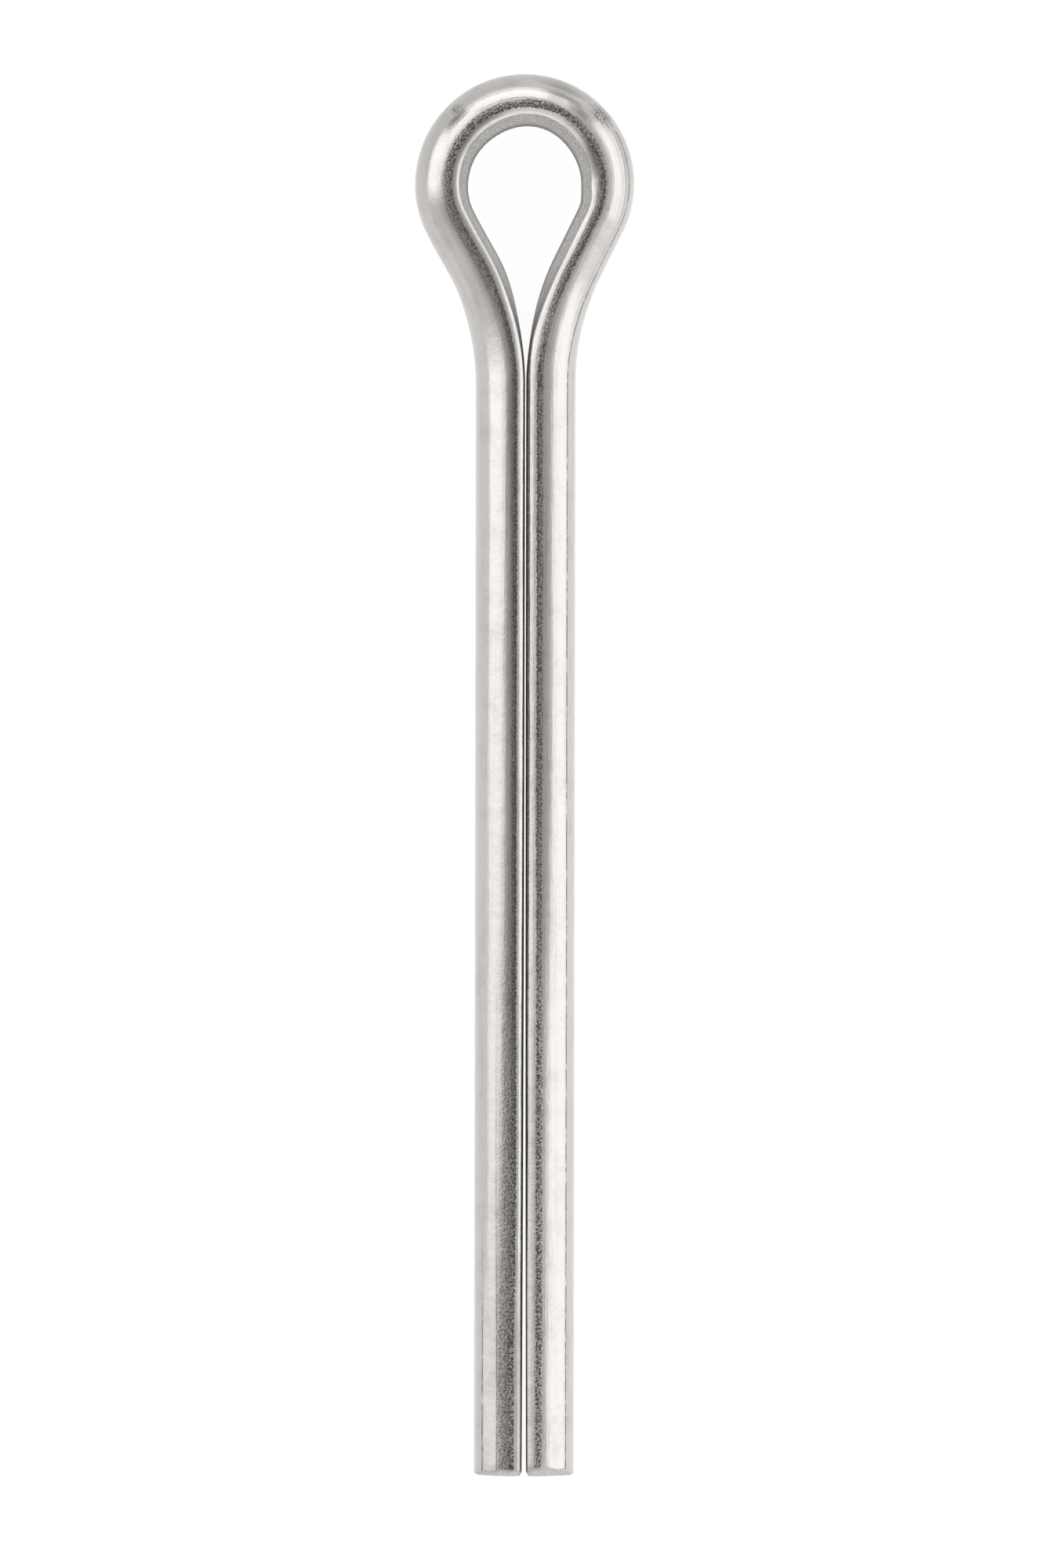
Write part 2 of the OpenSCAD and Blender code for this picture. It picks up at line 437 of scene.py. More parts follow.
def back_radius(angle, t, size):
    """Radius of the wire's back at rows of angles round the path, one row for each distance t.

    It rises above the wire's radius by the shoulder's rise * (3 u^2 - 2 u^3) towards the brow, and falls by
    the flattening * (2 u - u^2) above each ridge, where u is 0 at the ridge and 1 at the end of its reach.
    """
    radius = WIRE_RADIUS + shoulder_rise(t, size)[:, None] * smooth((angle - SHOULDER_FOOT) / SHOULDER_REACH)
    depths = size.flattening, size.upper_flattening
    for place, depth, strength in zip((size.ridge, size.upper_ridge), depths, ridge_strengths(t, size)):
        u = np.clip((angle - place) / RIDGE_REACH, 0, 1)
        radius = radius - (depth * strength)[:, None] * (2 * u - u**2)
    return radius


def spread(first, last, count):
    """Rows of count values, evenly from first up to but without last."""
    return first[:, None] + (last - first)[:, None] * np.linspace(0, 1, count + 1)[:-1]


def arc_points(middle_x, middle_z, radius, angle):
    """Rows of points on arcs: the middle plus the radius times (cos, sin) of the angle."""
    x = middle_x[:, None] + radius * np.cos(angle)
    return np.stack([x, middle_z[:, None] + radius * np.sin(angle)], -1)


def section(t, size):
    """Outline of the wire at distances t: rows of (outward, up) points, round from the flat side's middle.

    The flat side is an arc of large radius about a point on the outward axis, and the back is nearly a
    circle about the path. A corner is an arc from the edge's tilt to the brow's tilt, so its chord slopes at
    the mean of the two, and the edge is where that chord's line, drawn from the brow, cuts the flat side's
    arc. The lower half is the mirror image of the upper one. Returns the outline, dented and rolled, and its
    points' angles round the path.
    """
    flat_radius = (WIRE_RADIUS**2 + size.crown**2) / (2 * size.crown)
    flat_middle = flat_gap(t, size) / 2 + flat_radius
    brow = brow_angle(t, size)
    brow_radius = back_radius(brow[:, None], t, size)[:, 0]
    brow_x, brow_z = brow_radius * np.cos(brow), brow_radius * np.sin(brow)

    edge_tilt, brow_tilt = corner_tilts(t, size)
    slope = (edge_tilt + brow_tilt) / 2
    from_middle = brow_x - flat_middle
    reach = from_middle * np.cos(slope) + brow_z * np.sin(slope)
    chord = reach + np.sqrt(reach**2 - from_middle**2 - brow_z**2 + flat_radius**2)
    edge_x, edge_z = brow_x - chord * np.cos(slope), brow_z - chord * np.sin(slope)
    corner = chord / (2 * np.sin((edge_tilt - brow_tilt) / 2))
    corner_x, corner_z = brow_x + corner * np.sin(brow_tilt), brow_z - corner * np.cos(brow_tilt)

    zero, whole = np.zeros_like(t), np.ones_like(t)
    flat_angle = spread(math.pi * whole, np.arctan2(edge_z, edge_x - flat_middle), FLAT_COLUMNS)
    corner_angle = spread(math.pi / 2 + edge_tilt, math.pi / 2 + brow_tilt, CORNER_COLUMNS)
    back_angle = np.concatenate(
        [
            spread(brow, size.upper_ridge * whole, TOP_COLUMNS),
            spread(size.upper_ridge * whole, size.ridge * whole, SHOULDER_COLUMNS),
            spread(size.ridge * whole, zero, SIDE_COLUMNS),
        ],
        1,
    )
    upper = np.concatenate(
        [
            arc_points(flat_middle, zero, flat_radius, flat_angle),
            arc_points(corner_x, corner_z, corner[:, None], corner_angle),
            arc_points(zero, zero, back_radius(back_angle, t, size), back_angle),
        ],
        1,
    )
    outermost = np.stack([WIRE_RADIUS * whole, zero], -1)[:, None]
    outline = np.concatenate([upper, outermost, upper[:, :0:-1] * (1, -1)], 1)
    turn = np.arctan2(outline[..., 1], outline[..., 0])
    outline = outline * (1 + dents(t[:, None] / MM, turn) * size.dents / WIRE_RADIUS)[..., None]
    return rolled(outline, t, size), turn


def dents(along, turn):
    """Shallow unevenness, between about -1 and 1: a sum of long waves along the wire times waves round it.

    Each is height * sin(pace * millimetres along + start) * cos(folds * angle round + 2 start).
    """
    return sum(
        height * np.sin(pace * along + start) * np.cos(folds * turn + 2 * start)
        for pace, folds, start, height in DENT_WAVES
    )


def rolled(outline, t, size):
    """The outline as bending leaves it: in the eye it is turned about the path, thinned and lifted."""
    along_eye, _, in_eye = places(t, size)
    roll = ((size.roll_left + (size.roll_right - size.roll_left) * smooth(along_eye)) * in_eye)[:, None]
    x, z = outline[..., 0], outline[..., 1]
    turned_x = x * np.cos(roll) + z * np.sin(roll)
    turned_z = (z * np.cos(roll) - x * np.sin(roll)) * (1 - size.thinning * in_eye)[:, None]
    return np.stack([turned_x, turned_z + ROLL_LIFT * roll], -1)


def tip_rings(outline, bevel, side_bevel):
    """Rings of a sheared tip: the outline drawn in along a rounded bevel, then to a point in its middle.

    A ring at share d of the bevel is the outline moved straight towards its middle, until it lies the
    bevel's width times slope times 1 - (1 - d^p)^(1/p) inside the outline, and the end is the last ring
    shrunk to its middle. The bevel is bevel wide where the outline faces up or down and side_bevel wide
    where it faces sideways, and waves round the wire make it ragged. Returns the rings, and how far each of
    their points lies from the end.
    """
    tangent = np.roll(outline, -1, 0) - np.roll(outline, 1, 0)
    normal = np.stack([tangent[:, 1], -tangent[:, 0]], -1)
    normal /= np.linalg.norm(normal, axis=1, keepdims=True)
    middle = outline.mean(0)
    inwards = middle - outline
    inwards /= np.linalg.norm(inwards, axis=1, keepdims=True)
    inwards /= np.clip((inwards * normal).sum(1), LEAST_INWARD, 1)[:, None]
    upright = begun(np.abs(normal[:, 1]), UPRIGHT)
    angle = np.arctan2(outline[:, 1], outline[:, 0])
    ragged = 1 + sum(height * np.sin(waves * angle + start) for waves, start, height in RAGS)
    width = (side_bevel + (bevel - side_bevel) * upright) * ragged
    drawn = 1 - (1 - BEVEL_SHARES**BEVEL_POWER) ** (1 / BEVEL_POWER)
    rings = outline[None] + (drawn[:, None] * width)[..., None] * inwards[None] * BEVEL_SLOPE
    inside = middle + (rings[-1] - middle)[None] * END_SHARES[:, None, None]
    from_end = np.concatenate([(1 - BEVEL_SHARES)[:, None] * width, np.zeros(inside.shape[:2])])
    return np.concatenate([rings, inside]), from_end


def wear(t, size):
    """How worn the rough steel is: most at the left tip and over the eye, least on the rest of that leg."""
    along_eye, along_leg, in_eye = places(t, size)
    over_top = smooth(2 - 2 * np.abs(along_eye - WORN_MIDDLE) / WORN_REACH)
    on_left = LEFT_WEAR + (TIP_WEAR - LEFT_WEAR) * begun(along_leg, LEFT_TIP)
    return 1 + TOP_WEAR * over_top + np.where(t < 0, on_left, RIGHT_WEAR) * (1 - in_eye)


def roughness_and_shade(t, outline, size):
    """How rough the drawn steel is at each point, and so its painted shade: 0 where bright, over 1 where
    worn.
    """
    tangent = np.roll(outline, -1, 1) - np.roll(outline, 1, 1)
    tilt = np.arctan2(np.abs(tangent[..., 1]), np.abs(tangent[..., 0]))
    on_back = tangent[..., 1] * np.sign(outline[..., 1]) < 0
    _, along_leg, in_eye = places(t, size)
    lower = begun(along_leg, LOWER_LEG)
    wider = (EYE_ROUGH * in_eye + LEG_ROUGH * lower * (t > 0))[:, None]
    left, faint, corner, back = (
        1 - smooth((tilt - start - wider * on_back) / fade)
        for start, fade in (ROUGH_LEFT, ROUGH_FAINT, ROUGH_CORNER, ROUGH_BACK)
    )
    rough_and_shade = np.where(t[:, None] < 0, left, np.where(on_back, back, corner)) * wear(t, size)[:, None]
    return np.maximum(rough_and_shade, FAINT_ROUGH * faint * (lower * (t < 0))[:, None])


def painted_edge_shade(t, columns, size):
    """Strength of the painted shade beside the flat side: one column wide in the eye and two in the legs."""
    along_eye, _, in_eye = places(t[:, None], size)
    column = np.arange(columns)
    beside_flat = np.minimum(column, columns - column) - FLAT_COLUMNS
    strength = LEG_EDGE_SHADE + (between(along_eye, *EYE_EDGE_SHADE) - LEG_EDGE_SHADE) * in_eye
    return strength * ((beside_flat == 0) + (beside_flat == 1) * (1 - in_eye))


def wire_mesh(size):
    """Sweeps the wire's outline along its path, from the left tip round the eye to the right tip.

    A point of the wire is path + outward * x + up * z for each (x, z) of the outline there, and its height
    is then pressed to the solid's. Returns the points on a grid of rings, on the same grid each point's
    place along the wire, its angle round it and what its surface is like, and the number of rings at each
    end.
    """
    t = ring_places(size)
    points, outward = wire_path(t, size)
    outline, turn = section(t, size)
    grid = np.concatenate([points[:, None] + outward[:, None] * outline[..., :1], outline[..., 1:]], 2)
    ends = []
    for row, slant, bevel in ((0, math.tan(size.slant), size.left_bevel), (-1, 0.0, size.right_bevel)):
        rings, from_end = tip_rings(outline[row], bevel, size.side_bevel)
        x = points[row, 0] + outward[row, 0] * rings[..., 0]
        y = PIN_LOW.y + from_end - slant * (x - x.max())
        ends.append(np.stack([x, y, rings[..., 1]], -1))
    left, right = ends
    rows = len(left)
    grid = np.concatenate([left[::-1], grid, right])
    grid[..., 2] *= min(1, PIN_HIGH.z / np.abs(grid[..., 2]).max())

    def extend(values):
        values = np.broadcast_to(values, turn.shape)
        return np.concatenate([np.repeat(values[:1], rows, 0), values, np.repeat(values[-1:], rows, 0)])

    surface = {
        "rough_and_shade": extend(roughness_and_shade(t, outline, size)),
        "ridged": extend(ridge_strengths(t, size)[0][:, None]),
        "edge": extend(painted_edge_shade(t, turn.shape[1], size)),
    }
    return grid, extend(t[:, None]), extend(turn), surface, rows


def closed_tube(name, grid, poles):
    """Mesh of a tube through rows of rings, closed round and with a fan of triangles to each end's pole."""
    rows, columns = grid.shape[:2]
    count = rows * columns
    here = np.arange(count).reshape(rows, columns)
    right = np.roll(here, -1, 1)
    quads = np.stack([here[:-1], here[1:], right[1:], right[:-1]], -1).reshape(-1, 4)
    first = np.stack([np.full(columns, count), here[0], right[0]], -1)
    last = np.stack([np.full(columns, count + 1), right[-1], here[-1]], -1)
    mesh = bpy.data.meshes.new(name)
    mesh.vertices.add(count + 2)
    mesh.vertices.foreach_set("co", np.concatenate([grid.reshape(-1, 3), poles]).astype(np.float32).ravel())
    corners = np.concatenate([quads.ravel(), first.ravel(), last.ravel()]).astype(np.int32)
    sizes = np.concatenate([np.full(len(quads), 4), np.full(2 * columns, 3)])
    mesh.loops.add(len(corners))
    mesh.loops.foreach_set("vertex_index", corners)
    mesh.polygons.add(len(sizes))
    starts = np.concatenate([[0], np.cumsum(sizes)[:-1]]).astype(np.int32)
    mesh.polygons.foreach_set("loop_start", starts)
    mesh.update(calc_edges=True)
    mesh.validate()
    return mesh, corners


def make_wire(size, finish):
    """The whole pin: one swept mesh, its finishes by face, and a UV map in millimetres, round and along."""
    grid, along, turn, surface, end_rows = wire_mesh(size)
    rows, columns = grid.shape[:2]
    mesh, corners = closed_tube("wire", grid, grid[[0, -1]].mean(1))

    def with_poles(values):
        values = values.reshape(rows * columns, -1)
        return np.concatenate([values, values[[0, -1]]])

    place = with_poles(np.stack([turn * WIRE_RADIUS / MM, along / MM], -1))
    uv = mesh.uv_layers.new(name="wire")
    uv.uv.foreach_set("vector", place[corners].astype(np.float32).ravel())
    for name, values in surface.items():
        attribute = mesh.attributes.new(name, "FLOAT", "POINT")
        attribute.data.foreach_set("value", with_poles(values).astype(np.float32).ravel())
    column = np.arange(columns)
    is_flat = (column < FLAT_COLUMNS) | (column >= columns - FLAT_COLUMNS)
    slot = np.where(is_flat, FLAT, BRIGHT)[None].repeat(rows - 1, 0)
    rim = end_rows - 1 - LIP_ROWS
    slot[:rim] = SHEARED
    slot[-rim:] = SHEARED
    slots = np.concatenate([slot.ravel(), np.full(2 * columns, SHEARED)]).astype(np.int32)
    mesh.polygons.foreach_set("material_index", slots)
    mesh.polygons.foreach_set("use_smooth", np.ones(len(mesh.polygons), bool))
    for material in (drawn_steel(size, finish), rolled_steel(finish), sheared_steel(finish)):
        mesh.materials.append(material)
    mark_creases(mesh, columns, rows, end_rows)
    pin = bpy.data.objects.new("wire_pin", mesh)
    bpy.context.scene.collection.objects.link(pin)
    return pin


def mark_creases(mesh, columns, rows, end_rows):
    """Marks as sharp the edges along the flat side, the brows and the ridges, and round each tip's bevel."""
    creases = np.cumsum([FLAT_COLUMNS, CORNER_COLUMNS, TOP_COLUMNS, SHOULDER_COLUMNS])
    creases = np.concatenate([creases, columns - creases])
    ends = np.zeros(2 * len(mesh.edges), np.int32)
    mesh.edges.foreach_get("vertices", ends)
    a, b = ends.reshape(-1, 2).T
    on_grid = np.maximum(a, b) < rows * columns
    row_a, row_b, column_a, column_b = a // columns, b // columns, a % columns, b % columns
    lengthways = (column_a == column_b) & np.isin(column_a, creases)
    lengthways &= (np.minimum(row_a, row_b) >= end_rows - 1) & (np.maximum(row_a, row_b) <= rows - end_rows)
    rim = end_rows - 1 - LIP_ROWS
    crossways = (row_a == row_b) & np.isin(row_a, [rim, rows - 1 - rim])
    sharp = mesh.attributes.new("sharp_edge", "BOOLEAN", "EDGE")
    sharp.data.foreach_set("value", on_grid & (lengthways | crossways))


# -------- finishes


def node(tree, kind, sockets=(), output=0, **settings):
    """Adds a shader node with its settings, and gives its sockets a value or the output that feeds them.

    The sockets are a dict by name or number, or a tuple for the first ones in order. A Map Range's are its
    value, the two ends that it runs from and the two that it runs to. Returns the output that is asked for,
    if any.
    """
    made = tree.nodes.new("ShaderNode" + kind)
    for name, value in settings.items():
        setattr(made, name, value)
    for key, value in sockets.items() if isinstance(sockets, dict) else enumerate(sockets):
        if isinstance(value, bpy.types.NodeSocket):
            tree.links.new(value, made.inputs[key])
        else:
            made.inputs[key].default_value = value
    return made.outputs[output] if len(made.outputs) else None


def new_material(name):
    """An empty material and its node tree."""
    material = bpy.data.materials.new(name)
    material.use_nodes = True
    material.node_tree.nodes.clear()
    return material, material.node_tree


def drawn_steel(size, finish):
    """Bright drawn low-carbon steel wire: glossy where the die burnished it, with faint streaks along it.

    The top of the wire never touched the die, so it keeps a pitted grain, which shows as fine specks, and its
    colour is darkened there as painted shade of the dark ceiling that it reflects. The grain is deeper
    towards the tips. Thin dark lines run along the ridges, a dark line of painted shade runs beside the flat
    side, and faint stains lie in patches all over.
    """
    material, tree = new_material("Drawn Steel Wire")
    here = node(tree, "TexCoord", output="Object")
    place = node(tree, "UVMap", uv_map="wire")
    near_tip = node(tree, "MapRange", (node(tree, "SeparateXYZ", (here,), "Y"), *NEAR_TIPS), **EASED)
    # the rough steel's mask: real wear and scuffs, and painted shade where the up-facing top reflects the
    # dark ceiling
    rough_and_shade = node(tree, "Attribute", output="Fac", attribute_name="rough_and_shade")
    scuffed = scuffs(tree, here)
    worn_and_shade = node(tree, "Math", (rough_and_shade, scuffed), operation="MAXIMUM")

    # the pitted grain
    fine = {"Vector": here, "Scale": 1 / finish.grain, "Detail": 3.0, "Roughness": 0.65}
    grain = node(tree, "TexNoise", fine)
    pits = node(tree, "MapRange", (grain, PIT_RIM, PIT_FLOOR), **EASED)
    deep = node(tree, "Math", (near_tip, scuffed), operation="MAXIMUM")
    darkness = node(tree, "MapRange", (deep, 0, 1, PIT_DARKNESS, TIP_PIT_DARKNESS))
    darkness = node(tree, "Math", (darkness, worn_and_shade, FAINT_DARKNESS), operation="MULTIPLY_ADD")
    depth = node(tree, "MapRange", (near_tip, 0, 1, finish.pitting, TIP_PITTING * finish.pitting))
    depth = node(tree, "Math", (worn_and_shade, depth, FAINT_PITTING * finish.pitting), operation="MULTIPLY_ADD")
    level = node(tree, "Math", (grain, 0.5), operation="SUBTRACT")
    height = node(tree, "Math", (level, depth), operation="MULTIPLY")

    # shallow dimples, and the streaks that the die leaves
    shallow = {"Vector": here, "Scale": 1 / DIMPLE_SIZE, "Detail": 3.0, "Roughness": 0.6}
    dimples = node(tree, "TexNoise", shallow)
    height = node(tree, "Math", (dimples, finish.dimples, height), operation="MULTIPLY_ADD")
    stretched = node(tree, "Mapping", {"Vector": place, "Scale": (1 / STREAK_GAP, 1 / STREAK_LENGTH, 1)})
    lines = {"Vector": stretched, "Scale": 1.0, "Detail": 4.0, "Roughness": 0.7}
    streaks = node(tree, "TexNoise", lines, noise_dimensions="2D")
    height = node(tree, "Math", (streaks, finish.streaks, height), operation="MULTIPLY_ADD")
    bump = node(tree, "Bump", {"Height": height, "Distance": 1.0, "Strength": 1.0})

    # each of the marks darkens it: pits, lines and the painted shade beside the flat side, the rough steel
    # all over, which is partly painted shade, stains and streaks
    line = dark_lines(tree, here, place, near_tip, size)
    marks = node(tree, "Math", (pits, darkness, line), operation="MULTIPLY_ADD")
    marks = node(tree, "Math", (worn_and_shade, WORN_SHADE_DARKNESS, marks), operation="MULTIPLY_ADD")
    patchy = {"Vector": here, "Scale": 1 / STAIN_SIZE, "Detail": 5.0, "Roughness": 0.75}
    stains = node(tree, "TexNoise", patchy)
    stains = node(tree, "MapRange", (stains, *STAINED, 0, STAIN_DARKNESS), **EASED)
    marks = node(tree, "Math", (marks, stains), operation="ADD")
    streaks = node(tree, "MapRange", (streaks, *STREAKED, 0, STREAK_DARKNESS), **EASED)
    marks = node(tree, "Math", (marks, streaks), operation="ADD")

    # a colour Mix node's two colours are its sockets 6 and 7, and its result is output 2
    colours = {0: marks, 6: (*finish.bright, 1), 7: (*finish.pit, 1)}
    colour = node(tree, "Mix", colours, 2, data_type="RGBA")
    gloss = node(tree, "MapRange", (worn_and_shade, 0, 1, BRIGHT_ROUGHNESS, WORN_ROUGHNESS))
    steel = {"Base Color": colour, "Metallic": 1.0, "Roughness": gloss, "Normal": bump}
    node(tree, "OutputMaterial", {"Surface": node(tree, "BsdfPrincipled", steel)})
    return material


def dark_lines(tree, here, place, near_tip, size):
    """Darkness of thin broken die lines on the ridges, and of the painted shade beside the flat side."""
    across = node(tree, "Math", (node(tree, "SeparateXYZ", (place,), "X"),), operation="ABSOLUTE")
    ridged = node(tree, "Attribute", output="Fac", attribute_name="ridged")
    on_left = node(tree, "Math", (node(tree, "SeparateXYZ", (here,), "X"), 0), operation="LESS_THAN")
    upper = node(tree, "Math", (near_tip, on_left), operation="MULTIPLY")
    upper = node(tree, "Math", (upper, UPPER_LINE), operation="MULTIPLY")
    line = 0.0
    for ridge, strength in ((size.ridge, ridged), (size.upper_ridge, upper)):
        off = node(tree, "Math", (across, ridge * WIRE_RADIUS / MM), operation="SUBTRACT")
        off = node(tree, "Math", (off,), operation="ABSOLUTE")
        thin = node(tree, "MapRange", (off, LINE_EDGE, LINE_CORE), **EASED)
        thin = node(tree, "Math", (thin, strength), operation="MULTIPLY")
        line = node(tree, "Math", (line, thin), operation="MAXIMUM")
    uneven = {"Vector": here, "Scale": 1 / BREAK_SIZE, "Detail": 4.0, "Roughness": 0.7}
    broken = node(tree, "MapRange", (node(tree, "TexNoise", uneven), *BROKEN), **EASED)
    line = node(tree, "Math", (line, broken), operation="MULTIPLY")
    # painted shade: a dark line along the edge beside the flat side
    edge = node(tree, "Attribute", output="Fac", attribute_name="edge")
    line = node(tree, "Math", (line, edge), operation="MAXIMUM")
    return node(tree, "Math", (line, LINE_DARKNESS), operation="MULTIPLY")


def scuffs(tree, here):
    """1 in the few places where the bending tool scuffed the wire, fading over their ragged edges, else 0."""
    marks = 0.0
    ragged = {"Vector": here, "Scale": 1 / RAG_SIZE, "Detail": 4.0, "Roughness": 0.7}
    ragged = node(tree, "TexNoise", ragged)
    for x, y, radius, strength in SCUFFS:
        off = node(tree, "VectorMath", (here, (x * MM, y * MM, MM)), "Value", operation="DISTANCE")
        reach = node(tree, "Math", (ragged, 2 * radius * MM), operation="MULTIPLY")
        share = node(tree, "Math", (off, reach), operation="DIVIDE")
        mark = node(tree, "MapRange", (share, *SCUFF_EDGE, 0, strength), **EASED)
        marks = node(tree, "Math", (marks, mark), operation="MAXIMUM")
    return marks


def matte_steel(name, colour, grain, depth, shades, low_shade):
    """Steel with no gloss: a coarse grain breaks up its reflections, and its high spots are rubbed paler.

    The grain is drawn coarser than a real one, so that it shows. The shades are those of its low and high
    spots. Its lower half is darker, down to low_shade, as painted shade.
    """
    material, tree = new_material(name)
    here = node(tree, "TexCoord", output="Object")
    speckle = node(tree, "TexNoise", {"Vector": here, "Scale": 1 / grain, "Detail": 3.0, "Roughness": 0.7})
    bump = node(tree, "Bump", {"Height": speckle, "Distance": depth, "Strength": 1.0})
    shade = node(tree, "MapRange", (speckle, *SPOTS, *shades), **EASED)
    # painted shade: darker towards the lower edge, down to low_shade
    up = node(tree, "SeparateXYZ", (here,), "Z")
    painted_low_shade = node(tree, "MapRange", (up, *LOW_SHADE_HEIGHTS, low_shade), **EASED)
    shade = node(tree, "Math", (shade, painted_low_shade), operation="MULTIPLY")
    shaded = node(tree, "VectorMath", {0: colour, "Scale": shade}, operation="SCALE")
    steel = {"Base Color": shaded, "Metallic": 1.0, "Roughness": MATTE_ROUGHNESS, "Normal": bump}
    node(tree, "OutputMaterial", {"Surface": node(tree, "BsdfPrincipled", steel)})
    return material


def rolled_steel(finish):
    """The wire's flat side, rolled and not drawn: matte, speckled and a shade darker."""
    return matte_steel(
        "Rolled Steel Flat",
        finish.flat,
        grain=1.5 * finish.grain,
        depth=0.04 * MM,
        shades=(0.6, 1.25),
        low_shade=0.4,
    )


def sheared_steel(finish):
    """The sheared tips: torn metal, matte and pale."""
    return matte_steel(
        "Sheared Steel",
        finish.sheared,
        grain=1.4 * finish.grain,
        depth=0.02 * MM,
        shades=(0.84, 1.04),
        low_shade=1.0,
    )


# -------- the stage


def soft_patch(down, around, sides, ends, edge):
    """1 in a patch of the studio's wall, from one side and end to the other, easing to 0 over its edge."""
    middle, half = (sides[0] + sides[1]) / 2, (sides[1] - sides[0]) / 2
    off = np.abs((around - middle + 180) % 360 - 180)
    tall = smooth((down - ends[0] + edge) / (2 * edge)) * smooth((ends[1] + edge - down) / (2 * edge))
    return tall * smooth((half + edge - off) / (2 * edge))


def studio_light(down, around):
    """Brightness of the studio at these angles: the ceiling, plus the brightest softbox, less the cards."""
    light = CEILING_LIGHT
    for (low, high), step in CEILING_STEPS:
        light = light + step * begun(down, (low, high - low))
    light = light + np.max([soft_patch(down, around, *box[:3]) * box[3] for box in SOFTBOXES], 0)
    return light * np.prod([1 - soft_patch(down, around, *card[:3]) * card[3] for card in CARDS], 0)


def make_studio():
    """The studio, which only reflections see: a dark ceiling, pale walls, softboxes and grey cards.

    It is a glowing hemisphere, radius * (sin down * sin around, sin down * cos around, cos down), in steps
    of one degree.
    """
    down = np.linspace(0, 90, 91)[1:, None]
    around = np.linspace(0, 360, 361)[None, :-1]
    sin, cos = np.sin(np.radians(down)), np.cos(np.radians(down))
    x, y = np.sin(np.radians(around)), np.cos(np.radians(around))
    grid = STUDIO_RADIUS * np.stack(np.broadcast_arrays(sin * x, sin * y, cos), -1).reshape(-1, 3)
    grid[:, 2] += PIN_LOW.z
    here = np.arange(len(grid)).reshape(len(down), -1)
    beside = np.roll(here, -1, 1)
    quads = np.stack([here[:-1], here[1:], beside[1:], beside[:-1]], -1).reshape(-1, 4)
    mesh = bpy.data.meshes.new("studio")
    mesh.from_pydata(grid.tolist(), [], quads.tolist() + [here[0].tolist()])
    light = mesh.attributes.new("light", "FLOAT", "POINT")
    light.data.foreach_set("value", studio_light(down, around).astype(np.float32).ravel())
    material, tree = new_material("Studio Walls")
    strength = node(tree, "Attribute", output="Fac", attribute_name="light")
    glow = node(tree, "Emission", {"Color": (1, 1, 1, 1), "Strength": strength})
    node(tree, "OutputMaterial", {"Surface": glow})
    mesh.materials.append(material)
    studio = bpy.data.objects.new("studio", mesh)
    bpy.context.scene.collection.objects.link(studio)
    for ray in ("camera", "diffuse", "shadow", "transmission"):
        setattr(studio, "visible_" + ray, False)


def make_world():
    """White to the camera, reflections and clear things, and a plain soft light on everything else."""
    world = bpy.data.worlds.new("studio")
    bpy.context.scene.world = world
    world.use_nodes = True
    tree = world.node_tree
    tree.nodes.clear()
    seen = 0.0
    for ray in ("Is Camera Ray", "Is Glossy Ray", "Is Transmission Ray"):
        seen = node(tree, "Math", (seen, node(tree, "LightPath", output=ray)), operation="MAXIMUM")
    strength = node(tree, "MapRange", (seen, 0, 1, WORLD_LIGHT, 1))
    light = node(tree, "Background", {"Color": (1, 1, 1, 1), "Strength": strength})
    node(tree, "OutputWorld", {"Surface": light})


def make_floor():
    """The pale floor: faintly lit, so it keeps a soft shadow, and raised to white by a glow.

    Its glow in reflections is painted reflection: darker to the left and beyond the eye, and on a grey card.
    """
    floor = plane("floor", FLOOR_WIDTH, CAD_BOX[0][2])
    material, tree = new_material("Studio Paper")
    here = node(tree, "TexCoord", output="Object")
    across = node(tree, "MapRange", (node(tree, "SeparateXYZ", (here,), "X"), *FLOOR_ACROSS), **EASED)
    ahead = node(tree, "MapRange", (node(tree, "SeparateXYZ", (here,), "Y"), *FLOOR_AHEAD), **EASED)
    # painted reflection: the floor's glow to reflections, darker to the left, farther ahead and on the card
    painted_reflection = node(tree, "Math", (across, ahead), operation="MULTIPLY")
    painted_reflection = node(tree, "Math", (painted_reflection, painted_reflection_card(tree, here)), operation="MULTIPLY")
    glow = 0.0
    for ray, light in (("Camera", CAMERA_GLOW), ("Glossy", painted_reflection), ("Transmission", CLEAR_GLOW)):
        seen = node(tree, "LightPath", output=f"Is {ray} Ray")
        seen = node(tree, "Math", (seen, light), operation="MULTIPLY")
        glow = node(tree, "Math", (glow, seen), operation="MAXIMUM")
    paper = {
        "Base Color": (*linear(PAPER_GREY), 1),
        "Roughness": 1.0,
        "Specular IOR Level": 0.0,
        "Emission Color": (1, 1, 1, 1),
        "Emission Strength": glow,
    }
    node(tree, "OutputMaterial", {"Surface": node(tree, "BsdfPrincipled", paper)})
    floor.data.materials.append(material)


def painted_reflection_card(tree, here):
    """Share of the floor's glow that an oval grey card beyond the eye leaves.

    The card is painted reflection: only reflections see it.
    """
    oval = {"Vector": here, "Location": CARD_PLACE, "Rotation": (0, 0, CARD_TURN), "Scale": CARD_SIZE}
    oval = node(tree, "Mapping", oval, vector_type="TEXTURE")
    off = node(tree, "VectorMath", (oval,), "Value", operation="LENGTH")
    return node(tree, "MapRange", (off, *CARD_EDGE, CARD_LIGHT, 1), **EASED)


def plane(name, width, height):
    """A flat square of the given width, at the given height, facing up."""
    far = width / 2
    mesh = bpy.data.meshes.new(name)
    corners = [(-far, -far, height), (far, -far, height), (far, far, height), (-far, far, height)]
    mesh.from_pydata(corners, [], [(0, 1, 2, 3)])
    made = bpy.data.objects.new(name, mesh)
    bpy.context.scene.collection.objects.link(made)
    return made


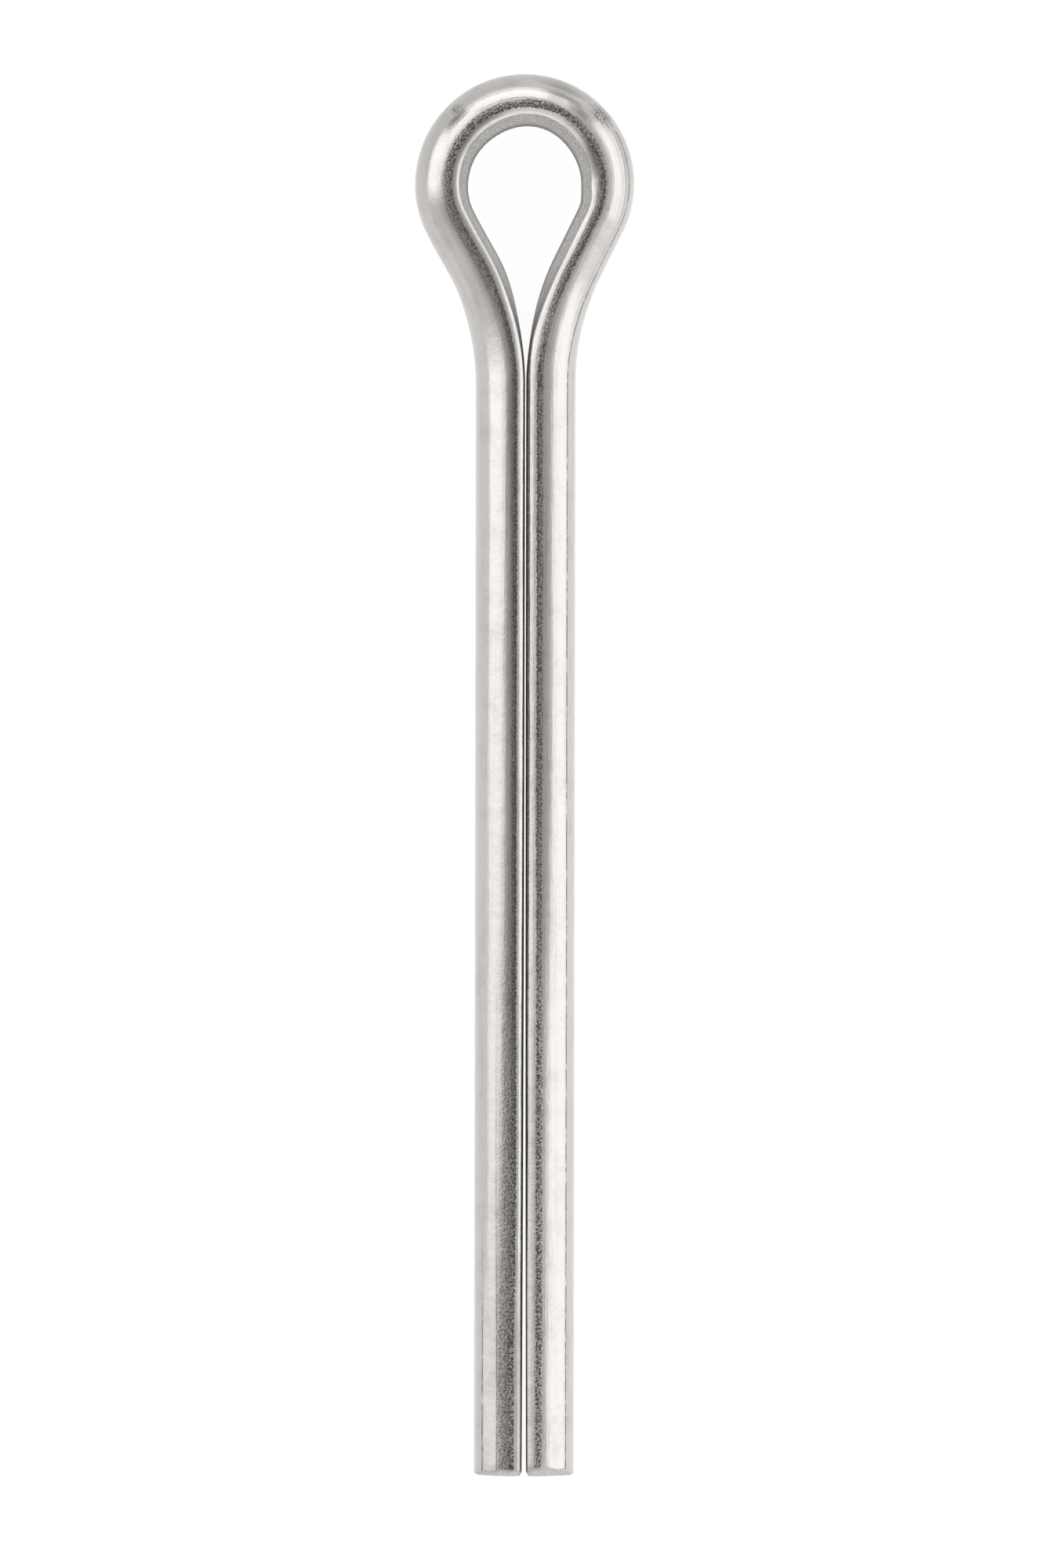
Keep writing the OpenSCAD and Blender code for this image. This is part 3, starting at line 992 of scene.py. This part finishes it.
def make_camera(stage):
    """The camera looks straight down; its lens takes in view_height of floor over the sensor's long side."""
    camera = bpy.data.cameras.new("camera")
    camera.sensor_fit = "AUTO"
    camera.sensor_width = SENSOR_WIDTH
    camera.lens = SENSOR_WIDTH * stage.camera_height / stage.view_height
    camera.clip_start, camera.clip_end = 0.01, 10
    eye = bpy.data.objects.new("camera", camera)
    eye.location = (stage.view_x, stage.view_y, stage.camera_height)
    eye.rotation_euler = (0, 0, CAMERA_TURN)
    bpy.context.scene.collection.objects.link(eye)
    bpy.context.scene.camera = eye


# -------- operators


class COTTER_OT_wire(bpy.types.Operator):
    """Bend the half-round wire into the pin"""

    bl_idname = "cotter.wire"
    bl_label = "Wire"
    bl_options = {"REGISTER", "UNDO"}

    def execute(self, context):
        pin = make_wire(context.scene.cotter_wire, context.scene.cotter_finish)
        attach(pin, "root")
        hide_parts("cotter_pin")
        return {"FINISHED"}


class COTTER_OT_stage(bpy.types.Operator):
    """Set the floor, the studio light and the camera"""

    bl_idname = "cotter.stage"
    bl_label = "Stage"
    bl_options = {"REGISTER", "UNDO"}

    def execute(self, context):
        context.scene.view_settings.view_transform = "Standard"
        make_world()
        make_floor()
        make_studio()
        make_camera(context.scene.cotter_stage)
        return {"FINISHED"}


class COTTER_PT_panel(bpy.types.Panel):
    """Sidebar panel that lists the steps in order"""

    bl_idname = "COTTER_PT_panel"
    bl_label = "Cotter Pin"
    bl_space_type = "VIEW_3D"
    bl_region_type = "UI"
    bl_category = "Cotter Pin"

    def draw(self, context):
        for step in (COTTER_OT_stage, COTTER_OT_wire):
            self.layout.operator(step.bl_idname)


SETTINGS = {"cotter_wire": WireSettings, "cotter_finish": FinishSettings, "cotter_stage": StageSettings}
CLASSES = (*SETTINGS.values(), COTTER_OT_stage, COTTER_OT_wire, COTTER_PT_panel)


def register():
    """Registers the classes, and puts their settings on the scene."""
    for cls in CLASSES:
        bpy.utils.register_class(cls)
    for name, group in SETTINGS.items():
        setattr(bpy.types.Scene, name, PointerProperty(type=group))


def unregister():
    """Takes the settings off the scene again, and the classes."""
    for name in SETTINGS:
        delattr(bpy.types.Scene, name)
    for cls in reversed(CLASSES):
        bpy.utils.unregister_class(cls)


def main():
    register()
    bpy.ops.cotter.stage()
    bpy.ops.cotter.wire()


if __name__ == "__main__":
    main()
